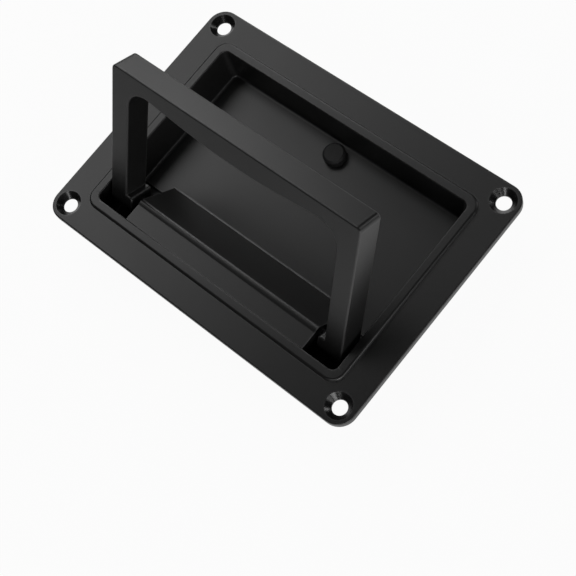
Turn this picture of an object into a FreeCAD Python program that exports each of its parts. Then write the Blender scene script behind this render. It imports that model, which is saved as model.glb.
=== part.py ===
import FreeCAD, Part
import math
import os
import re

import Sketcher
from FreeCAD import Base

# A recessed pull handle. X runs along the plate, the bail's hinge lies on the -Y side and +Z
# points out of the panel. The origin is the centre of the flange's back plane.
doc = FreeCAD.newDocument("RecessedPullHandle")
sheet = doc.addObject("Spreadsheet::Sheet", "Sizes")

# Every driving size, in millimetres and degrees
SIZES = {
    # flange and its screw holes
    "flangeLength": 150.0,
    "flangeWidth": 106.2,
    "flangeThick": 2.8,
    "flangeCorner": 7.0,
    "flangeEdgeRound": 0.6,
    "holeInset": 6.8,
    "holeDia": 5.8,
    "sinkDia": 10.2,
    "sinkAngle": 90.0,
    # raised rim round the recess
    "endMargin": 15.4,
    "sideMargin": 14.9,
    "rimWidth": 3.8,
    "rimRise": 1.2,
    "rimCorner": 5.5,
    "rimRound": 1.1,
    "rimInnerRound": 0.5,
    # tray
    "trayDepth": 10.8,
    "endDraft": 2.2,
    "sideDraft": 1.6,
    "trayCorner": 2.6,
    "floorFillet": 1.0,
    "wallThick": 2.0,
    "backFillet": 3.0,
    "backRound": 1.0,
    # knuckle bar that carries the pivot pin
    "laneWidth": 14.7,
    "shelfDrop": 0.4,
    "barrelRadius": 6.0,
    "creaseRadius": 1.6,
    "rampFoot": 13.3,
    "rampFillet": 1.5,
    # pockets under the leg ends, and the blocks round them
    "pocketLength": 18.6,
    "pocketDrop": 2.0,
    "blockWall": 2.5,
    "blockStep": 1.0,
    "blockStepStart": 7.2,
    "blockChamfer": 3.0,
    "blockRound": 0.8,
    # pivot
    "pivotSetback": 9.6,
    "pivotDepth": 1.9,
    "pinDia": 3.5,
    "pinFit": 0.02,
    "pinSeat": 1.5,
    "pinEndGap": 0.2,
    "pinChamfer": 0.4,
    "hubFit": 0.05,
    # bail
    "bailAngle": 62.3,
    "bailThick": 10.5,
    "bailEndGap": 3.0,
    "bailSideGap": 1.4,
    "legFlare": 1.3,
    "legWidth": 8.25,
    "crossbarDepth": 5.5,
    "bellyPeak": 5.3,
    "bellyRadius": 240.0,
    "bailOuterCorner": 2.0,
    "bailInnerCorner": 8.8,
    "bailEdgeRound": 0.6,
    "heelRound": 5.0,
    "hubGap": 1.7,
    "hubLedge": 4.5,
    "hubCorner": 1.5,
    # bumper
    "bumperDia": 9.0,
    "bumperGap": 0.1,
    "bumperInset": 3.6,
    "bumperChamfer": 0.8,
    "stemDia": 4.0,
    "stemFit": 0.05,
}
SCRATCH_CELL = "D1"
TOLERANCE = 0.01
CUTS = ("Pocket", "Hole", "SubtractiveWedge", "SubtractiveCylinder")

for row, (alias, value) in enumerate(SIZES.items(), start=1):
    sheet.set(f"A{row}", alias)
    sheet.set(f"B{row}", str(value))
    sheet.setAlias(f"B{row}", alias)
doc.recompute()

# Places that follow from the sizes, as expressions in their words
mouthHalfX = "(flangeLength / 2 - endMargin)"
mouthHalfY = "(flangeWidth / 2 - sideMargin)"
rimTop = "(flangeThick + rimRise)"
floorZ = "(-trayDepth)"
backZ = "(-trayDepth - wallThick)"
endSlope = f"(endDraft / ({rimTop} + trayDepth))"
sideSlope = f"(sideDraft / ({rimTop} + trayDepth))"
barEnd = f"({mouthHalfX} - laneWidth)"
pivotY = f"(pivotSetback - {mouthHalfY})"
pivotZ = "(-pivotDepth)"
foldedUnder = "(-pivotDepth - bailThick / 2)"
bailReach = f"({mouthHalfY} - {sideSlope} * ({rimTop} - {foldedUnder}) - bailEndGap - {pivotY})"
bailTopHalf = f"({mouthHalfX} - {endSlope} * ({rimTop} - {foldedUnder}) - bailSideGap)"
pocketEndY = f"(pocketLength - {mouthHalfY})"
blockEnd = f"({mouthHalfX} + blockWall)"
blockBackZ = "(-trayDepth - pocketDrop - wallThick)"
bumperY = f"({pivotY} + {bailReach} - bumperInset)"

WORD = re.compile(r"[A-Za-z_]\w*")


def inSheet(expression):
    """The expression with each size's name made a reference to its cell."""
    return WORD.sub(lambda m: f"Sizes.{m[0]}" if m[0] in SIZES else m[0], expression)


def number(expression):
    """The expression's present value, worked out by the sheet."""
    sheet.set(SCRATCH_CELL, "=" + expression)
    sheet.recompute()
    return float(sheet.get(SCRATCH_CELL))


def bind(thing, **expressions):
    """Binds properties; two underscores stand for a dot."""
    for path, expression in expressions.items():
        thing.setExpression(path.replace("__", "."), inSheet(expression))


def newBody(name, label):
    body = doc.addObject("PartDesign::Body", name)
    body.Label = label
    return body


def originPlane(body, role):
    return next(f for f in body.Origin.OriginFeatures if f.Role == role)


def newSketch(body, name, role="XY_Plane", height="0"):
    sketch = body.newObject("Sketcher::SketchObject", name)
    sketch.AttachmentSupport = [(originPlane(body, role), "")]
    sketch.MapMode = "FlatFace"
    bind(sketch, AttachmentOffset__Base__z=height)
    return sketch


def constrain(sketch, kind, *parts, name=None, expression=None):
    if expression is None:
        return sketch.addConstraint(Sketcher.Constraint(kind, *parts))
    index = sketch.addConstraint(Sketcher.Constraint(kind, *parts, number(expression)))
    sketch.renameConstraint(index, name)
    sketch.setExpression(f"Constraints.{name}", inSheet(expression))
    return index


def place(sketch, geometry, position, name, x, y):
    """Ties a point of the sketch to two expressions."""
    constrain(sketch, "DistanceX", -1, 1, geometry, position, name=f"{name}X", expression=x)
    constrain(sketch, "DistanceY", -1, 1, geometry, position, name=f"{name}Y", expression=y)


def arcBetween(centre, radius, first, last):
    """An arc that runs counter-clockwise from first to last, and its two end angles."""
    angles = [math.atan2(p.y - centre.y, p.x - centre.x) for p in (first, last)]
    if angles[1] < angles[0]:
        angles[1] += 2 * math.pi
    return Part.ArcOfCircle(Part.Circle(centre, Base.Vector(0, 0, 1), radius), *angles)


def outline(sketch, name, corners):
    """A closed outline. Each corner is (x, y), or (x, y, radius) where it is rounded."""
    points = [Base.Vector(number(c[0]), number(c[1]), 0) for c in corners]
    count = len(corners)
    joints = []
    for i, corner in enumerate(corners):
        here = points[i]
        if len(corner) == 2:
            joints.append((here, here, None))
            continue
        back = (points[i - 1] - here).normalize()
        ahead = (points[(i + 1) % count] - here).normalize()
        half = back.getAngle(ahead) / 2
        radius = number(corner[2])
        centre = here + (back + ahead).normalize() * (radius / math.sin(half))
        reach = radius / math.tan(half)
        joints.append((here + back * reach, here + ahead * reach, centre))
    lines = []
    for i in range(count):
        segment = Part.LineSegment(joints[i][1], joints[(i + 1) % count][0])
        lines.append(sketch.addGeometry(segment))
    for i, (arrive, leave, centre) in enumerate(joints):
        before, after, tag = lines[i - 1], lines[i], f"{name}{i}"
        if centre is None:
            constrain(sketch, "Coincident", before, 2, after, 1)
            place(sketch, after, 1, tag, *corners[i])
            continue
        x, y, radius = corners[i]
        left = (arrive - centre).cross(leave - centre).z > 0
        ends = (arrive, leave) if left else (leave, arrive)
        arc = sketch.addGeometry(arcBetween(centre, number(radius), *ends))
        constrain(sketch, "Tangent", before, 2, arc, 1 if left else 2)
        constrain(sketch, "Tangent", after, 1, arc, 2 if left else 1)
        corner = sketch.addGeometry(Part.Point(points[i]), True)
        constrain(sketch, "PointOnObject", corner, 1, before)
        constrain(sketch, "PointOnObject", corner, 1, after)
        place(sketch, corner, 1, tag, x, y)
        constrain(sketch, "Radius", arc, name=f"{tag}R", expression=radius)


def rectangle(sketch, name, halfX, halfY, radius):
    """A rounded rectangle about the sketch's origin, from its half sizes."""
    signs = ((-1, -1), (1, -1), (1, 1), (-1, 1))
    outline(sketch, name, [(f"{i} * {halfX}", f"{j} * {halfY}", radius) for i, j in signs])


def feature(body, kind, name, **values):
    made = body.newObject(f"PartDesign::{kind}", name)
    for key, value in values.items():
        setattr(made, key, value)
    return made


def pad(body, name, sketch, length, kind="Pad", **values):
    made = feature(body, kind, name, Profile=sketch, **values)
    bind(made, Length=length)
    return made


def cylinder(body, cut, name, radius, length, role, x, y, start):
    """A primitive cylinder square to one of the body's origin planes."""
    made = feature(body, "SubtractiveCylinder" if cut else "AdditiveCylinder", name)
    made.AttachmentSupport = [(originPlane(body, role), "")]
    made.MapMode = "FlatFace"
    bind(made, Radius=radius, Height=length, AttachmentOffset__Base__x=x)
    bind(made, AttachmentOffset__Base__y=y, AttachmentOffset__Base__z=start)
    return made


def near(a, b):
    return abs(a - b) < TOLERANCE


def roundEdges(body, name, radius, test, kind="Fillet", unless=None):
    """Rounds the last feature's edges whose ends and middle all pass the test."""
    doc.recompute()
    base = body.Tip
    names = []
    for i, edge in enumerate(base.Shape.Edges, start=1):
        points = [v.Point for v in edge.Vertexes]
        points.append(edge.valueAt((edge.FirstParameter + edge.LastParameter) / 2))
        if all(test(p) for p in points) and not (unless and unless(points)):
            names.append(f"Edge{i}")
    if not names:
        raise ValueError(f"{name} found no edge")
    made = feature(body, kind, name, Base=(base, names))
    bind(made, **{"Radius" if kind == "Fillet" else "Size": radius})
    return made


def inside(halfX, halfY, height):
    """A test for points at one height within a rectangle about the origin."""
    x, y, z = number(halfX) + TOLERANCE, number(halfY) + TOLERANCE, number(height)
    return lambda p: near(p.z, z) and abs(p.x) < x and abs(p.y) < y


def atHeight(height):
    z = number(height)
    return lambda p: near(p.z, z)


def level(points):
    """True for an edge whose ends are at one height."""
    return near(points[0].z, points[1].z)


def wedge(body, kind, name, height, depth, wall):
    """The drafted form of the tray from a height down, its sides grown by a wall."""
    made = feature(body, kind, name)
    made.AttachmentSupport = [(originPlane(body, "XY_Plane"), "")]
    made.MapMode = "FlatFace"
    made.AttachmentOffset = Base.Placement(Base.Vector(), Base.Rotation(Base.Vector(1, 0, 0), -90))
    bind(made, AttachmentOffset__Base__z=height, Ymin="0", Ymax=depth)
    for axis, half, slope in (("X", mouthHalfX, endSlope), ("Z", mouthHalfY, sideSlope)):
        for end, z in (("", height), ("2", f"({height} - {depth})")):
            size = f"({half} - {slope} * ({rimTop} - {z}) + {wall})"
            bind(made, **{f"{axis}{end}min": f"-{size}", f"{axis}{end}max": size})
    return made


def addKnuckleProfile(sketch):
    """Section of the knuckle bar: shelf, crease, barrel round the pin, ramp and its foot."""
    wallY, underZ = f"(-{mouthHalfY} - wallThick / 2)", f"({floorZ} - wallThick / 2)"
    shelfZ, footY = f"({rimTop} - shelfDrop)", f"({pivotY} + rampFoot)"
    farY = f"({footY} + rampFillet)"
    pin = Base.Vector(number(pivotY), number(pivotZ), 0)
    foot = Base.Vector(number(footY), number(floorZ), 0)
    barrel, crease, fillet = number("barrelRadius"), number("creaseRadius"), number("rampFillet")
    shelf, under = number(shelfZ), number(underZ)
    rise = shelf + crease - pin.y
    creaseCentre = Base.Vector(pin.x - math.sqrt((barrel + crease) ** 2 - rise**2), shelf + crease, 0)
    creaseLow = Base.Vector(creaseCentre.x, shelf, 0)
    creaseHigh = pin + (creaseCentre - pin) * (barrel / (barrel + crease))
    toFoot = foot - pin
    tangentAt = math.atan2(toFoot.y, toFoot.x) + math.acos(barrel / toFoot.Length)
    rampTop = pin + Base.Vector(math.cos(tangentAt), math.sin(tangentAt), 0) * barrel
    upRamp = (rampTop - foot).normalize()
    reach = fillet * math.tan(upRamp.getAngle(Base.Vector(-1, 0, 0)) / 2)
    rampLow = foot + upRamp * reach
    floorNear = foot + Base.Vector(reach, 0, 0)
    filletCentre = floorNear + Base.Vector(0, fillet, 0)
    wall, far = number(wallY), number(farY)
    lowWall, highWall = Base.Vector(wall, under, 0), Base.Vector(wall, shelf, 0)
    floorFar, lowFar = Base.Vector(far, foot.y, 0), Base.Vector(far, under, 0)
    drawn = [
        Part.LineSegment(lowWall, highWall),
        Part.LineSegment(highWall, creaseLow),
        arcBetween(creaseCentre, crease, creaseLow, creaseHigh),
        arcBetween(pin, barrel, rampTop, creaseHigh),
        Part.LineSegment(rampTop, rampLow),
        arcBetween(filletCentre, fillet, rampLow, floorNear),
        Part.LineSegment(floorNear, floorFar),
        Part.LineSegment(floorFar, lowFar),
        Part.LineSegment(lowFar, lowWall),
    ]
    added = [sketch.addGeometry(g) for g in drawn]
    wallLine, shelfLine, creaseArc, barrelArc, ramp, footArc, floorLine, farLine, underLine = added
    corners = ((wallLine, shelfLine), (floorLine, farLine), (farLine, underLine), (underLine, wallLine))
    for first, second in corners:
        constrain(sketch, "Coincident", first, 2, second, 1)
    constrain(sketch, "Tangent", shelfLine, 2, creaseArc, 1)
    constrain(sketch, "Tangent", creaseArc, 2, barrelArc, 2)
    constrain(sketch, "Tangent", barrelArc, 1, ramp, 1)
    constrain(sketch, "Tangent", ramp, 2, footArc, 1)
    constrain(sketch, "Tangent", footArc, 2, floorLine, 1)
    for upright in (wallLine, farLine):
        constrain(sketch, "Vertical", upright)
    for flat in (shelfLine, floorLine, underLine):
        constrain(sketch, "Horizontal", flat)
    footPoint = sketch.addGeometry(Part.Point(foot), True)
    constrain(sketch, "PointOnObject", footPoint, 1, ramp)
    constrain(sketch, "PointOnObject", footPoint, 1, floorLine)
    constrain(sketch, "DistanceX", -1, 1, footPoint, 1, name="footX", expression=footY)
    place(sketch, barrelArc, 3, "pivot", pivotY, pivotZ)
    place(sketch, wallLine, 1, "wall", wallY, underZ)
    place(sketch, floorLine, 2, "floor", farY, floorZ)
    constrain(sketch, "DistanceY", -1, 1, shelfLine, 1, name="shelfZ", expression=shelfZ)
    constrain(sketch, "Radius", barrelArc, name="barrel", expression="barrelRadius")
    constrain(sketch, "Radius", creaseArc, name="crease", expression="creaseRadius")
    constrain(sketch, "Radius", footArc, name="foot", expression="rampFillet")


def makeHousing():
    """The casting: flange, rim, tray, knuckle bar and the blocks round the leg pockets."""
    body = newBody("Housing", "housing")
    flange = newSketch(body, "FlangeOutline")
    rectangle(flange, "c", "(flangeLength / 2)", "(flangeWidth / 2)", "flangeCorner")
    pad(body, "Flange", flange, "flangeThick")
    roundEdges(body, "FlangeEdge", "flangeEdgeRound", atHeight("flangeThick"))

    rim = newSketch(body, "RimOutline")
    rimHalfX, rimHalfY = f"({mouthHalfX} + rimWidth)", f"({mouthHalfY} + rimWidth)"
    rectangle(rim, "c", rimHalfX, rimHalfY, "rimCorner")
    pad(body, "Rim", rim, rimTop)
    roundEdges(body, "RimEdge", "rimRound", atHeight(rimTop))

    wedge(body, "AdditiveWedge", "Shell", "0", f"-{backZ}", "wallThick")
    cornerRound = "(trayCorner + wallThick)"
    roundEdges(body, "ShellCorners", cornerRound, lambda p: p.z < TOLERANCE, unless=level)
    roundEdges(body, "ShellEdge", "backRound", atHeight(backZ))
    roundEdges(body, "FlangeRoot", "backFillet", inside(rimHalfX, rimHalfY, "0"))

    blocks = newSketch(body, "BlockOutlines")
    nearY = f"(-{mouthHalfY} - blockWall)"
    inner = f"({barEnd} - wallThick)"
    step = f"({inner} + blockStepStart)"
    farY = f"({pocketEndY} + wallThick)"
    for side, name in ((-1, "left"), (1, "right")):
        corners = [
            (f"{side} * {inner}", f"{nearY} + blockStep"),
            (f"{side} * {step}", f"{nearY} + blockStep"),
            (f"{side} * {step}", nearY),
            (f"{side} * ({blockEnd} - blockChamfer)", nearY),
            (f"{side} * {blockEnd}", f"{nearY} + blockChamfer"),
            (f"{side} * {blockEnd}", farY),
            (f"{side} * {inner}", farY),
        ]
        outline(blocks, name, corners if side > 0 else corners[::-1])
    pad(body, "Blocks", blocks, f"-{blockBackZ}", Reversed=True)
    roundEdges(body, "BlockEdge", "blockRound", atHeight(blockBackZ))

    wedge(body, "SubtractiveWedge", "Tray", rimTop, f"({rimTop} + trayDepth)", "0")
    mouthX, mouthY, floor = (number(place) for place in (mouthHalfX, mouthHalfY, floorZ))

    def inTray(p):
        """True within the rim's mouth, from the floor up."""
        across = abs(p.x) < mouthX + TOLERANCE and abs(p.y) < mouthY + TOLERANCE
        return across and p.z > floor - TOLERANCE

    roundEdges(body, "TrayCorners", "trayCorner", inTray, unless=level)
    roundEdges(body, "TrayFillet", "floorFillet", atHeight(floorZ))
    mouth = inside(mouthHalfX, mouthHalfY, rimTop)
    roundEdges(body, "RimInnerEdge", "rimInnerRound", mouth)

    bar = newSketch(body, "KnuckleProfile", "YZ_Plane")
    addKnuckleProfile(bar)
    pad(body, "KnuckleBar", bar, f"2 * {barEnd}", Midplane=True)

    pockets = newSketch(body, "PocketOutlines", height=rimTop)
    for side, name in ((-1, "left"), (1, "right")):
        corners = [
            (f"{side} * {barEnd}", f"(-{mouthHalfY})"),
            (f"{side} * {mouthHalfX}", f"(-{mouthHalfY})", "trayCorner"),
            (f"{side} * {mouthHalfX}", pocketEndY),
            (f"{side} * {barEnd}", pocketEndY),
        ]
        outline(pockets, name, corners if side > 0 else corners[::-1])
    pad(body, "Pockets", pockets, f"{rimTop} + trayDepth + pocketDrop", kind="Pocket")

    screws = newSketch(body, "ScrewPlaces", height="flangeThick")
    holeX, holeY = "(flangeLength / 2 - holeInset)", "(flangeWidth / 2 - holeInset)"
    for i, (sideX, sideY) in enumerate(((-1, -1), (1, -1), (1, 1), (-1, 1))):
        x, y = f"{sideX} * {holeX}", f"{sideY} * {holeY}"
        circle = Part.Circle(Base.Vector(number(x), number(y), 0), Base.Vector(0, 0, 1), 1)
        index = screws.addGeometry(circle)
        place(screws, index, 3, f"screw{i}", x, y)
        constrain(screws, "Radius", index, name=f"screw{i}R", expression="holeDia / 2")
    doc.recompute()
    holes = feature(body, "Hole", "ScrewHoles", Profile=screws, DepthType="ThroughAll")
    holes.HoleCutType = "Countersink"
    holes.HoleCutCustomValues = True
    bind(holes, Diameter="holeDia", HoleCutDiameter="sinkDia", HoleCutCountersinkAngle="sinkAngle")

    boreStart = f"(-{mouthHalfX} - pinSeat - pinEndGap)"
    boreLength = f"({blockEnd} + backFillet - {boreStart})"
    boreRadius, stemHole = "pinDia / 2 + pinFit", "stemDia / 2 + stemFit"
    cylinder(body, True, "PinBore", boreRadius, boreLength, "YZ_Plane", pivotY, pivotZ, boreStart)
    cylinder(body, True, "StemHole", stemHole, "2 * wallThick", "XY_Plane", "0", bumperY, backZ)
    return body


def makeBail():
    """The bail, lying in its own XY plane with the pivot at the origin, then turned to its pose."""
    body = newBody("Bail", "bail_handle")
    pivotHalf = f"({bailTopHalf} + legFlare)"
    innerTop, innerPivot = f"({bailTopHalf} - legWidth)", f"({pivotHalf} - legWidth)"
    hubFace = f"({barEnd} + hubGap)"
    heel = "(-bailThick / 2)"
    crossbar = f"({bailReach} - crossbarDepth)"
    right = [
        (hubFace, heel),
        (pivotHalf, heel),
        (bailTopHalf, bailReach, "bailOuterCorner"),
    ]
    hub = [
        (innerTop, crossbar, "bailInnerCorner"),
        (innerPivot, "hubLedge"),
        (hubFace, "hubLedge", "hubCorner"),
    ]
    mirrored = [[(f"-{c[0]}", *c[1:]) for c in half[::-1]] for half in (right, hub)]
    belly = [("0", f"{crossbar} - bellyPeak", "bellyRadius")]
    face = newSketch(body, "Face")
    outline(face, "c", right + mirrored[0] + mirrored[1] + belly + hub)
    pad(body, "Blank", face, "bailThick", Midplane=True)
    low, half, heelRound = number(heel), number("bailThick / 2"), number("heelRound")
    heelTop = low + heelRound
    roundEdges(body, "Heels", "heelRound", lambda p: near(p.y, low) and near(abs(p.z), half))
    radius, length = "pinDia / 2 + hubFit", f"2 * {blockEnd}"
    cylinder(body, True, "PivotBore", radius, length, "YZ_Plane", "0", "0", f"-{blockEnd}")

    def onRim(p):
        """True on the outline of the front and back faces, carried on round the heels."""
        fromCentre = math.hypot(p.y - heelTop, abs(p.z) - half + heelRound)
        return near(abs(p.z), half) or p.y < heelTop and near(fromCentre, heelRound)

    def acrossHeel(points):
        start, end, _ = points
        return near(start.y, end.y) and near(start.z, end.z) and start.y < heelTop + TOLERANCE

    roundEdges(body, "FaceEdges", "bailEdgeRound", onRim, unless=acrossHeel)
    body.Placement = Base.Placement(Base.Vector(), Base.Rotation(Base.Vector(1, 0, 0), 1))
    bind(body, Placement__Base__y=pivotY, Placement__Base__z=pivotZ, Placement__Rotation__Angle="bailAngle")
    return body


def makePin():
    """The pivot pin, driven in from the +X block and seated in a blind hole in the other."""
    body = newBody("Pin", "pivot_pin")
    start = f"(-{mouthHalfX} - pinSeat)"
    length = f"({blockEnd} - pinEndGap - {start})"
    cylinder(body, False, "Shaft", "pinDia / 2", length, "YZ_Plane", pivotY, pivotZ, start)
    middle = number(f"{start} + {length} / 2")
    toEnd = number(f"{length} / 2")
    roundEdges(body, "Ends", "pinChamfer", lambda p: near(abs(p.x - middle), toEnd), kind="Chamfer")
    return body


def makeBumper():
    """The rubber bumper under the folded crossbar, with a stem through the floor."""
    body = newBody("Bumper", "bumper")
    section = newSketch(body, "Section", "XZ_Plane")
    height = f"({foldedUnder} - {floorZ} - bumperGap)"
    corners = [
        ("0", "(-wallThick)"),
        ("stemDia / 2", "(-wallThick)"),
        ("stemDia / 2", "0"),
        ("bumperDia / 2", "0"),
        ("bumperDia / 2", f"{height} - bumperChamfer"),
        ("bumperDia / 2 - bumperChamfer", height),
        ("0", height),
    ]
    outline(section, "c", corners)
    axis = (section, ["V_Axis"])
    feature(body, "Revolution", "Turned", Profile=section, ReferenceAxis=axis, Angle=360)
    bind(body, Placement__Base__y=bumperY, Placement__Base__z=floorZ)
    return body


pieces = [makeHousing(), makeBail(), makePin(), makeBumper()]
sheet.clear(SCRATCH_CELL)
doc.recompute()

for item in doc.Objects:
    if "Invalid" in item.State or "Error" in item.State:
        raise ValueError(f"{item.Name} failed: {item.State}")
    kind = item.TypeId.split("::")[-1]
    if kind in CUTS and item.Shape.Volume >= item.BaseFeature.Shape.Volume:
        raise ValueError(f"{item.Name} cuts nothing away")
for piece in pieces:
    if piece.Shape.isNull() or not piece.Shape.isValid() or len(piece.Shape.Solids) != 1:
        raise ValueError(f"{piece.Label} has no sound solid")

os.makedirs("parts", exist_ok=True)
for piece in pieces:
    piece.Shape.exportStep(f"parts/{piece.Label}.step")
    print(piece.Label, round(piece.Shape.Volume, 1))
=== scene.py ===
import math

import bpy
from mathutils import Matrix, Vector


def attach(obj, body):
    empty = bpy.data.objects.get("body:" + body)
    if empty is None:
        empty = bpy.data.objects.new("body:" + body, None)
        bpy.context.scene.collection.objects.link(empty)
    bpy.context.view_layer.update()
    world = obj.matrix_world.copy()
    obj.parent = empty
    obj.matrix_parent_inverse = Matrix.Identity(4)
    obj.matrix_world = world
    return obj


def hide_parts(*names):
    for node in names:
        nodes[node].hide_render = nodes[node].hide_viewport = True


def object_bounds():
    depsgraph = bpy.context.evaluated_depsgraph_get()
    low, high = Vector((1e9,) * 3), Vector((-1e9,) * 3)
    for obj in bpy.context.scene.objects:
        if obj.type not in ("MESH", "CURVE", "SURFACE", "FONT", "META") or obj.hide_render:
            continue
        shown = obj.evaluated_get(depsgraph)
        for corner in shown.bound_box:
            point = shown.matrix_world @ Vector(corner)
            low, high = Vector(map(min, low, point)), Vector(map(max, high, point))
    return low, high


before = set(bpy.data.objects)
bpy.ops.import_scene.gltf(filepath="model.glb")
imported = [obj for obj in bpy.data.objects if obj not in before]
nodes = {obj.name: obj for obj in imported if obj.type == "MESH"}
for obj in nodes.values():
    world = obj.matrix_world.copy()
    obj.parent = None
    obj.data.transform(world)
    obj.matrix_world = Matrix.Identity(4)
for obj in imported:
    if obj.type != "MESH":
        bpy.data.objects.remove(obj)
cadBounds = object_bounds()
print("frame loaded:", sorted(nodes))


def newMaterial(name):
    made = bpy.data.materials.new(name)
    made.use_nodes = True
    tree = made.node_tree
    return made, tree, tree.nodes["Principled BSDF"]


# a node with its settings, whose inputs are given as sockets to link or as values
def addNode(tree, kind, inputs=None, **settings):
    node = tree.nodes.new(kind)
    for key, value in settings.items():
        setattr(node, key, value)
    for key, value in (inputs or {}).items():
        if isinstance(value, bpy.types.NodeSocket):
            tree.links.new(value, node.inputs[key])
        else:
            node.inputs[key].default_value = value
    return node


# maps a value from one range to another
def spread(tree, source, toRange, fromRange=(0, 1)):
    inputs = {0: source, 1: fromRange[0], 2: fromRange[1], 3: toRange[0], 4: toRange[1]}
    return addNode(tree, "ShaderNodeMapRange", inputs).outputs[0]


def blend(tree, share, first, second):
    return addNode(tree, "ShaderNodeMix", {0: share, 2: first, 3: second}).outputs[0]


def calculate(tree, operation, first, second):
    return addNode(tree, "ShaderNodeMath", {0: first, 1: second}, operation=operation).outputs[0]


def greyOf(tree, tone):
    return addNode(tree, "ShaderNodeCombineColor", {0: tone, 1: tone, 2: tone}).outputs[0]


def noise(tree, where, scale, detail):
    inputs = {"Vector": where, "Scale": scale, "Detail": detail}
    return addNode(tree, "ShaderNodeTexNoise", inputs).outputs[0]


def objectPlace(tree):
    return addNode(tree, "ShaderNodeTexCoord").outputs["Object"]


def addBump(tree, shader, height, distance):
    bump = addNode(tree, "ShaderNodeBump", {"Height": height, "Strength": 1, "Distance": distance})
    tree.links.new(bump.outputs[0], shader.inputs["Normal"])


satinBlack = {
    "tone": (0.0058, 0.0082),
    "roughness": (0.33, 0.39),
    "gloss": 0.5,
    "patchScale": 45,           # broad, faint unevenness of the coat
    "patchDetail": 3,
    "grainScale": 2600,         # fine orange peel of the sprayed coat
    "grainDetail": 2,
    "grainHeight": 0.000008,
    "edgeReach": 0.001,         # the coat is thinner along the edges, and the lighter edge tone is also a painted highlight along them
    "edgeWearAndHighlightTone": 0.06,
    "edgeTurn": (0.99, 0.84),   # cosine of the turn where the edge tone starts, and where it is full
    "edgeSamples": 4,
    "sinkCentre": (0.0682, 0.0463, 0),  # the countersinks are smoother than the cast faces
    "sinkReach": (0.005, 0.0054),
    "sinkRoughness": 0.24,
}


# 1 on edges that a small round would soften, 0 elsewhere; it places the lighter edge tone, which is partly a
# thinner coat and partly a painted highlight
def edgeWearAndHighlightShare(tree, look):
    rounded = addNode(tree, "ShaderNodeBevel", {"Radius": look["edgeReach"]}, samples=look["edgeSamples"])
    plain = addNode(tree, "ShaderNodeNewGeometry")
    inputs = {0: rounded.outputs[0], 1: plain.outputs["Normal"]}
    same = addNode(tree, "ShaderNodeVectorMath", inputs, operation="DOT_PRODUCT")
    return spread(tree, same.outputs["Value"], (0, 1), look["edgeTurn"])


# 1 in the four countersinks, 0 elsewhere
def sinkShare(tree, where, look):
    quarter = addNode(tree, "ShaderNodeVectorMath", {0: where}, operation="ABSOLUTE").outputs[0]
    flat = addNode(tree, "ShaderNodeVectorMath", {0: quarter, 1: (1, 1, 0)}, operation="MULTIPLY").outputs[0]
    away = addNode(tree, "ShaderNodeVectorMath", {0: flat, 1: look["sinkCentre"]}, operation="DISTANCE")
    inner, outer = look["sinkReach"]
    return spread(tree, away.outputs["Value"], (0, 1), (outer, inner))


def satinCoat(name, look, sinks=False):
    made, tree, shader = newMaterial(name)
    where = objectPlace(tree)
    patches = noise(tree, where, look["patchScale"], look["patchDetail"])
    grain = noise(tree, where, look["grainScale"], look["grainDetail"])
    shader.inputs["Specular IOR Level"].default_value = look["gloss"]
    coat = spread(tree, patches, look["tone"])
    # the edges get a lighter tone: partly the thinner coat there, partly a painted highlight along the edges
    tone = blend(tree, edgeWearAndHighlightShare(tree, look), coat, look["edgeWearAndHighlightTone"])
    tree.links.new(greyOf(tree, tone), shader.inputs["Base Color"])
    rough = spread(tree, patches, look["roughness"])
    if sinks:
        rough = blend(tree, sinkShare(tree, where, look), rough, look["sinkRoughness"])
    tree.links.new(rough, shader.inputs["Roughness"])
    addBump(tree, shader, grain, look["grainHeight"])
    return made


groundSteel = {
    "colour": (0.06, 0.06, 0.062, 1),
    "roughness": (0.28, 0.42),
    "lineStretch": (1, 0.05, 0.05),
    "lineScale": 3000,
    "lineDetail": 2,
    "lineHeight": 0.000004,
}


def turnedSteel(name, look):
    made, tree, shader = newMaterial(name)
    shader.inputs["Base Color"].default_value = look["colour"]
    shader.inputs["Metallic"].default_value = 1
    inputs = {"Vector": objectPlace(tree), "Scale": look["lineStretch"]}
    stretched = addNode(tree, "ShaderNodeMapping", inputs)
    lines = noise(tree, stretched.outputs[0], look["lineScale"], look["lineDetail"])
    tree.links.new(spread(tree, lines, look["roughness"]), shader.inputs["Roughness"])
    addBump(tree, shader, lines, look["lineHeight"])
    return made


softRubber = {
    "tone": (0.0102, 0.0138),
    "roughness": (0.5, 0.62),
    "gloss": 0.3,
    "grainScale": 1800,
    "grainDetail": 3,
    "grainHeight": 0.00001,
}


def mouldedRubber(name, look):
    made, tree, shader = newMaterial(name)
    grain = noise(tree, objectPlace(tree), look["grainScale"], look["grainDetail"])
    shader.inputs["Specular IOR Level"].default_value = look["gloss"]
    tree.links.new(greyOf(tree, spread(tree, grain, look["tone"])), shader.inputs["Base Color"])
    tree.links.new(spread(tree, grain, look["roughness"]), shader.inputs["Roughness"])
    addBump(tree, shader, grain, look["grainHeight"])
    return made


# The knuckle bar is recut on a copy of the casting: it gets a narrow ridge with a steep straight
# ramp behind it, and a left end that leans out towards the floor. Places are (y, z) for the ridge
# and the ramp, and (x, z) for the left end.
knuckleBar = {
    "ridgeCentre": (-0.0296, 0.0019),
    "ridgeRadius": 0.00212,
    "rampFoot": (-0.0153, -0.0108),
    "footRound": 0.0015,
    "halfLength": 0.0465,
    "leftTop": (-0.0435, 0.0041),
    "leftFoot": (-0.0449, -0.0108),
    "backEdge": -0.03821,       # y where the leaning end stops
    "toolDepth": 0.007,
    "endDepth": 0.007 / 3,
    "endSpare": 0.001,          # the end tool reaches this far past the bar's top
    "floorSkin": 0.00002,       # keeps the cuts just clear of the tray's floor
    "roundSteps": 14,
    "smoothAngle": 32,
    "castingWeld": 1e-6,
    "toolWeld": 1e-7,
    "nearFoot": 1e-5,
    "facing": 0.99,
}


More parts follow.
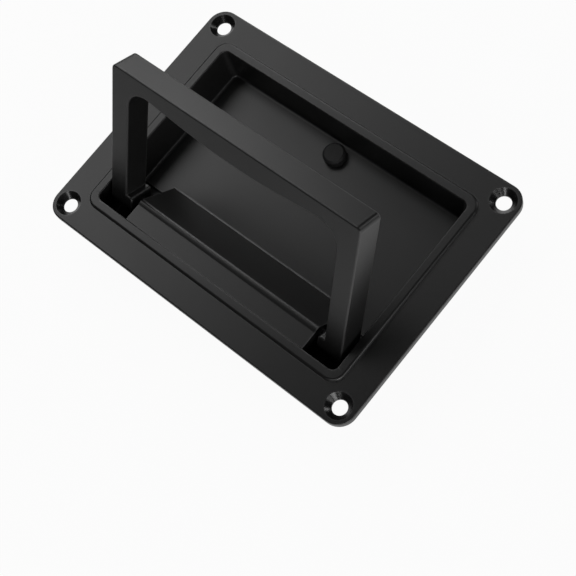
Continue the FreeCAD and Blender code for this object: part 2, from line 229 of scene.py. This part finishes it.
def deselectAll():
    bpy.ops.object.select_all(action="DESELECT")


def pick(obj):
    deselectAll()
    obj.select_set(True)
    bpy.context.view_layer.objects.active = obj


# selects the faces or edges that pass the test, and stays in edit mode
def choose(obj, kind, test):
    bpy.ops.mesh.select_all(action="DESELECT")
    bpy.ops.mesh.select_mode(type=kind)
    bpy.ops.object.mode_set(mode="OBJECT")
    for part in obj.data.polygons if kind == "FACE" else obj.data.edges:
        part.select = test(part)
    bpy.ops.object.mode_set(mode="EDIT")


# a block at its place, left in edit mode with all below the floor's level cut off
def blockOnFloor(middle, turn, size, floorLevel):
    deselectAll()
    bpy.ops.mesh.primitive_cube_add(size=1, location=middle, rotation=turn, scale=size)
    block = bpy.context.active_object
    bpy.ops.object.transform_apply(location=True, rotation=True, scale=True)
    bpy.ops.object.mode_set(mode="EDIT")
    bpy.ops.mesh.select_all(action="SELECT")
    bpy.ops.mesh.bisect(plane_co=(0, 0, floorLevel), plane_no=(0, 0, 1), use_fill=True, clear_inner=True)
    return block


# cuts away what lies over the ridge and the ramp
def rampTool(look):
    (ridgeY, ridgeZ), (footY, footZ) = look["ridgeCentre"], look["rampFoot"]
    footZ += look["floorSkin"]
    radius, depth = look["ridgeRadius"], look["toolDepth"]
    away = math.hypot(footY - ridgeY, footZ - ridgeZ)
    normalAngle = math.atan2(footZ - ridgeZ, footY - ridgeY) + math.acos(radius / away)
    lean = math.pi / 2 - normalAngle
    out = Vector((0, math.cos(normalAngle), math.sin(normalAngle)))
    down = Vector((0, out.z, -out.y))
    start = Vector((0, ridgeY, ridgeZ)) + out * radius
    length = math.sqrt(away**2 - radius**2) + depth
    middle = start + down * (length / 2) + out * (depth / 2)
    tool = blockOnFloor(middle, (-lean, 0, 0), (2 * look["halfLength"], length, depth), footZ)
    points = tool.data.vertices

    def atFoot(edge):
        ends = [points[i].co for i in edge.vertices]
        return all(math.hypot(p.y - footY, p.z - footZ) < look["nearFoot"] for p in ends)

    choose(tool, "EDGE", atFoot)
    reach = look["footRound"] * math.tan(lean / 2)
    bpy.ops.mesh.bevel(offset=reach, segments=look["roundSteps"] // 2)
    # the end face is spun round the ridge's centre, up to the level of its top
    choose(tool, "FACE", lambda face: face.normal.dot(down) < -look["facing"])
    bpy.ops.mesh.spin(steps=look["roundSteps"], angle=lean, center=(0, ridgeY, ridgeZ), axis=(-1, 0, 0))
    bpy.ops.mesh.select_all(action="SELECT")
    bpy.ops.mesh.remove_doubles(threshold=look["toolWeld"])
    bpy.ops.mesh.normals_make_consistent(inside=False)
    bpy.ops.object.mode_set(mode="OBJECT")
    return tool


# cuts the bar's left end to a leaning face
def endTool(look):
    (topX, topZ), (footX, footZ) = look["leftTop"], look["leftFoot"]
    footZ += look["floorSkin"]
    lean = math.atan2(topX - footX, topZ - footZ)
    depth = look["endDepth"]
    side = Vector((math.cos(lean), 0, -math.sin(lean)))
    up = Vector((math.sin(lean), 0, math.cos(lean)))
    tall = (topZ - footZ) / math.cos(lean) + look["endSpare"]
    wide = look["rampFoot"][0] + look["footRound"] - look["backEdge"]
    foot = Vector((footX, look["backEdge"] + wide / 2, footZ))
    middle = foot + up * (tall / 2) - side * (depth / 2)
    tool = blockOnFloor(middle, (0, lean, 0), (depth, wide, tall), footZ)
    bpy.ops.object.mode_set(mode="OBJECT")
    return tool


def recutCasting(node, look):
    pick(node)
    bpy.ops.object.duplicate()
    made = bpy.context.active_object
    made.name = "casting"
    bpy.ops.mesh.customdata_custom_splitnormals_clear()
    bpy.ops.object.mode_set(mode="EDIT")
    bpy.ops.mesh.select_all(action="SELECT")
    bpy.ops.mesh.remove_doubles(threshold=look["castingWeld"])
    bpy.ops.object.mode_set(mode="OBJECT")
    for tool in (rampTool(look), endTool(look)):
        pick(made)
        cut = made.modifiers.new("cut", "BOOLEAN")
        cut.operation = "DIFFERENCE"
        cut.solver = "EXACT"
        cut.object = tool
        bpy.ops.object.modifier_apply(modifier=cut.name)
        bpy.data.objects.remove(tool)
    bpy.ops.object.shade_smooth_by_angle(angle=math.radians(look["smoothAngle"]))
    weighted = made.modifiers.new("weighted", "WEIGHTED_NORMAL")
    weighted.keep_sharp = True
    bpy.ops.object.modifier_apply(modifier=weighted.name)
    return made


print("knuckle bar")
casting = recutCasting(nodes["housing"], knuckleBar)
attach(casting, "housing")
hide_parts("housing")
print("casting has", len(casting.data.polygons), "faces")

print("materials")
finishes = {
    "housing": ("black_casting", satinCoat("castingCoat", satinBlack, sinks=True)),
    "bail_handle": ("black_bail", satinCoat("bailCoat", satinBlack)),
    "pivot_pin": ("pin_steel", turnedSteel("pinSteel", groundSteel)),
    "bumper": ("bumper_rubber", mouldedRubber("bumperRubber", softRubber)),
}
for name, (slotName, material) in finishes.items():
    piece = casting if name == "housing" else nodes[name]
    piece.data.materials.clear()
    piece.data.materials.append(material)


print("floor")
stage = {
    "size": 6.0,
    "drop": 0.0002,
    "floorColour": (0.9, 0.9, 0.9, 1),
    "floorRoughness": 0.9,
    "white": (1, 1, 1, 1),
    "shareSeen": 0.95,              # how near to white the camera sees the floor
    "shareMirrored": (0.15, 1.0),   # and how near a reflection does, at -X and at +X
    "paperTurn": (-0.04, 0.1),      # x over which the second share goes from low to high
}


# the surface, lifted to white where the camera or a reflection sees it
def shownWhite(tree, surface, look):
    rays = addNode(tree, "ShaderNodeLightPath").outputs
    direct = calculate(tree, "MULTIPLY", rays["Is Camera Ray"], look["shareSeen"])
    mirror = calculate(tree, "MAXIMUM", rays["Is Glossy Ray"], rays["Is Transmission Ray"])
    across = addNode(tree, "ShaderNodeSeparateXYZ", {0: objectPlace(tree)}).outputs[0]
    share = spread(tree, across, look["shareMirrored"], look["paperTurn"])
    mirrored = calculate(tree, "MULTIPLY", mirror, share)
    amount = calculate(tree, "MAXIMUM", direct, mirrored)
    white = addNode(tree, "ShaderNodeEmission", {"Color": look["white"], "Strength": 1})
    mixed = addNode(tree, "ShaderNodeMixShader", {0: amount, 1: surface, 2: white.outputs[0]})
    return mixed.outputs[0]


deselectAll()
floorPlace = (0, 0, cadBounds[0].z - stage["drop"])
bpy.ops.mesh.primitive_plane_add(size=stage["size"], location=floorPlace)
floor = bpy.context.active_object
floor.name = "floor"
floorMaterial, floorTree, floorShader = newMaterial("floorPaper")
floorShader.inputs["Base Color"].default_value = stage["floorColour"]
floorShader.inputs["Roughness"].default_value = stage["floorRoughness"]
lifted = shownWhite(floorTree, floorShader.outputs[0], stage)
floorTree.links.new(lifted, floorTree.nodes["Material Output"].inputs["Surface"])
floor.data.materials.append(floorMaterial)


print("light")
# azimuth and elevation in degrees as seen from the part (0 is +Y, 90 is +X), width and height and
# distance in metres, and glow, at which 1 would be white paper
softBoxes = {
    "rightLow": {"azimuth": 90, "elevation": 10, "size": (0.42, 0.42), "glow": 2.6, "distance": 1.1},
    "frontRightLow": {"azimuth": 120, "elevation": 10, "size": (0.42, 0.42), "glow": 7.0, "distance": 1.1},
    "frontRight": {"azimuth": 154, "elevation": 26, "size": (0.25, 0.25), "glow": 6.0, "distance": 1.1},
    "backRightLow": {"azimuth": 25, "elevation": 13, "size": (0.25, 0.25), "glow": 5.2, "distance": 1.1},
    "backLow": {"azimuth": 330, "elevation": 10, "size": (0.42, 0.42), "glow": 0.4, "distance": 1.1},
    "backLeft": {"azimuth": 320, "elevation": 30, "size": (0.42, 0.42), "glow": 4.1, "distance": 1.1},
    "leftHigh": {"azimuth": 277, "elevation": 46, "size": (0.5, 0.36), "glow": 2.1, "distance": 0.7},
    "backLeftHigh": {"azimuth": 330, "elevation": 62, "size": (0.6, 0.6), "glow": 0.45, "distance": 1.1},
}
aim = Vector((0, 0, 0.015))
room = {
    "colour": (1, 1, 1, 1),
    "grey": 0.025,   # the level that lights the part
    "seen": 1.0,     # the level that the camera sees
}


def addSoftBox(name, box):
    azimuth, elevation = math.radians(box["azimuth"]), math.radians(box["elevation"])
    flat = math.cos(elevation)
    towards = Vector((math.sin(azimuth) * flat, math.cos(azimuth) * flat, math.sin(elevation)))
    bpy.ops.object.light_add(type="AREA", location=aim + towards * box["distance"])
    lamp = bpy.context.active_object
    lamp.name = name
    lamp.rotation_euler = (-towards).to_track_quat("-Z", "Y").to_euler()
    lamp.data.shape = "RECTANGLE"
    lamp.data.size, lamp.data.size_y = box["size"]
    lamp.data.energy = math.pi * box["size"][0] * box["size"][1] * box["glow"]


for name, box in softBoxes.items():
    addSoftBox(name, box)

world = bpy.data.worlds.new("studio")
bpy.context.scene.world = world
world.use_nodes = True
worldTree = world.node_tree
background = worldTree.nodes["Background"]
worldRays = addNode(worldTree, "ShaderNodeLightPath").outputs
level = spread(worldTree, worldRays["Is Camera Ray"], (room["grey"], room["seen"]))
worldTree.links.new(level, background.inputs["Strength"])
background.inputs["Color"].default_value = room["colour"]


print("camera")
shot = {
    "place": (0.213447, -0.091929, 0.41662),
    "turn": (22.1959, 13.4441, 40.3054),
    "lens": 80.747,
    "sensor": 36,
    "nearest": 0.01,
}
bpy.ops.object.camera_add(location=shot["place"], rotation=[math.radians(v) for v in shot["turn"]])
camera = bpy.context.active_object
camera.data.sensor_width = shot["sensor"]
camera.data.lens = shot["lens"]
camera.data.clip_start = shot["nearest"]
bpy.context.scene.camera = camera
bpy.context.scene.view_settings.view_transform = "Standard"
